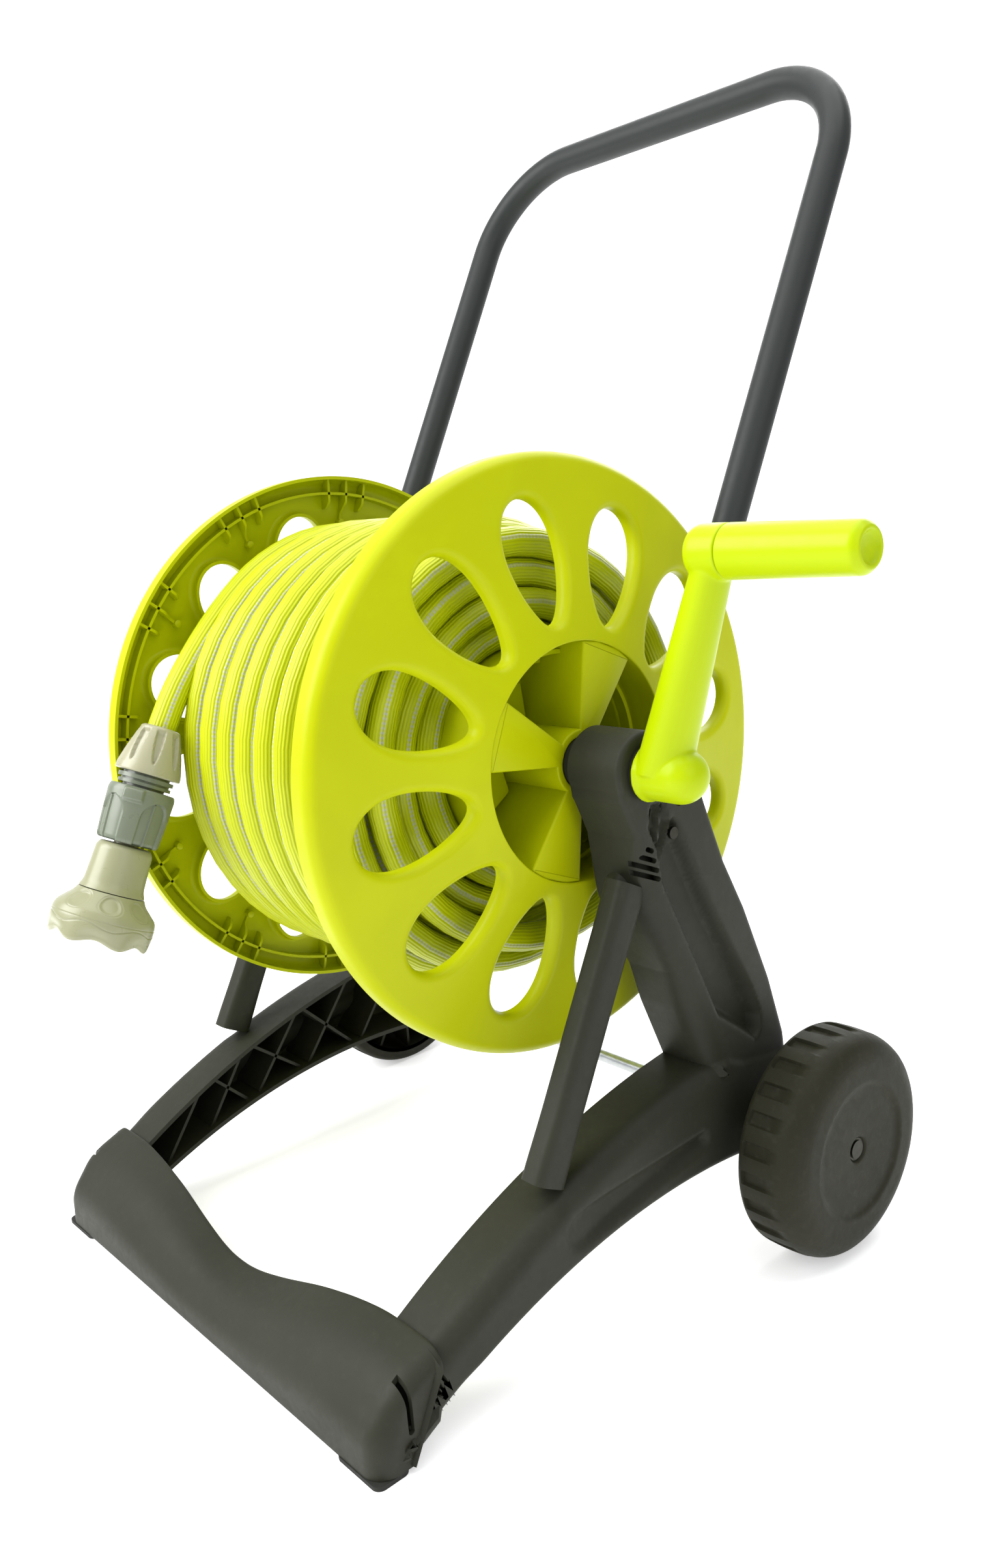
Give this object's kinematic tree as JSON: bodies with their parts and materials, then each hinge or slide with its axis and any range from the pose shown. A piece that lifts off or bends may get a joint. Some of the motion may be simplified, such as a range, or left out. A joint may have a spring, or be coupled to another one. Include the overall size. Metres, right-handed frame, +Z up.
{
  "type": "garden hose reel cart",
  "caption": "Two-wheeled garden cart with a crank-turned reel of lime hose between dark side frames, a tube handle, a foot bar and a spray nozzle.",
  "frame": {"origin": "on the floor under the middle of the cart's box, the hose and its connector left out", "axes": "+Z up; +X along the reel's axis towards the crank; +Y from the foot bar back towards the wheels and handle"},
  "size_m": [0.584, 0.5111, 0.745],
  "materials": {
    "dark_plastic": "moulded, fine matt grain",
    "handle_paint": "satin powder coat",
    "lime_plastic": "satin moulded",
    "wheel_plastic": "moulded, matt",
    "bearing_plastic": "smooth",
    "zinc_steel": "zinc plated",
    "seal_rubber": "smooth black",
    "hose_pvc": "ribbed lime PVC with a braided grey stripe",
    "nut_plastic": "satin",
    "collar_plastic": "satin",
    "nozzle_plastic": "satin"
  },
  "bodies": {
    "cart": {"side_frame_right": "dark_plastic", "side_frame_left": "dark_plastic", "front_foot_bar": "dark_plastic", "foot_pads": "dark_plastic", "handle_tube": "handle_paint", "handle_collars": "dark_plastic", "handle_end_plugs": "dark_plastic", "handle_screws": "zinc_steel", "hub_bush_right": "bearing_plastic", "hub_bush_left": "bearing_plastic", "inlet_connector": "collar_plastic", "inlet_seals": "seal_rubber", "inlet_screws": "zinc_steel", "wheel_axle": "zinc_steel", "axle_caps": "zinc_steel"},
    "reel": {"drum_shell": "lime_plastic", "flange_right": "lime_plastic", "flange_left": "lime_plastic", "drum_screws": "zinc_steel", "crank_shaft": "lime_plastic", "water_shaft": "lime_plastic", "outlet_elbow": "collar_plastic", "outlet_nut": "collar_plastic", "crank_arm": "lime_plastic", "crank_pin": "zinc_steel", "grip_pin": "zinc_steel", "hose_winding": "hose_pvc", "hose_tail": "hose_pvc", "connector_nut": "nut_plastic", "connector_body": "collar_plastic", "nozzle_body": "nozzle_plastic", "nozzle_seal": "seal_rubber"},
    "crank_grip": {"crank_grip": "lime_plastic", "grip_cap": "lime_plastic"},
    "connector_collar": {"connector_collar": "collar_plastic"},
    "nozzle_head": {"nozzle_head": "nozzle_plastic"},
    "wheel_right": {"wheel_right": "wheel_plastic", "wheel_sleeve_right": "bearing_plastic"},
    "wheel_left": {"wheel_left": "wheel_plastic", "wheel_sleeve_left": "bearing_plastic"}
  },
  "joints": [
    {"name": "reel_spin", "type": "hinge", "parent": "cart", "child": "reel", "pos_m": [-0.041, -0.0189, 0.326], "axis": [1, 0, 0], "continuous": true},
    {"name": "grip_spin", "type": "hinge", "parent": "reel", "child": "crank_grip", "pos_m": [-0.041, -0.0189, 0.446], "axis": [1, 0, 0], "continuous": true},
    {"name": "collar_slide", "type": "slide", "parent": "reel", "child": "connector_collar", "axis": [0, 0.45, 0.893], "range_m": [0, 0.0035], "stiffness_N_per_m": 600, "springref_m": -0.004},
    {"name": "nozzle_twist", "type": "hinge", "parent": "reel", "child": "nozzle_head", "pos_m": [-0.119, -0.1764, 0.357], "axis": [0, -0.45, -0.893], "range_deg": [0, 270]},
    {"name": "wheel_right_spin", "type": "hinge", "parent": "cart", "child": "wheel_right", "pos_m": [-0.041, 0.0871, 0.072], "axis": [1, 0, 0], "continuous": true},
    {"name": "wheel_left_spin", "type": "hinge", "parent": "cart", "child": "wheel_left", "pos_m": [-0.041, 0.0871, 0.072], "axis": [1, 0, 0], "continuous": true}
  ]
}
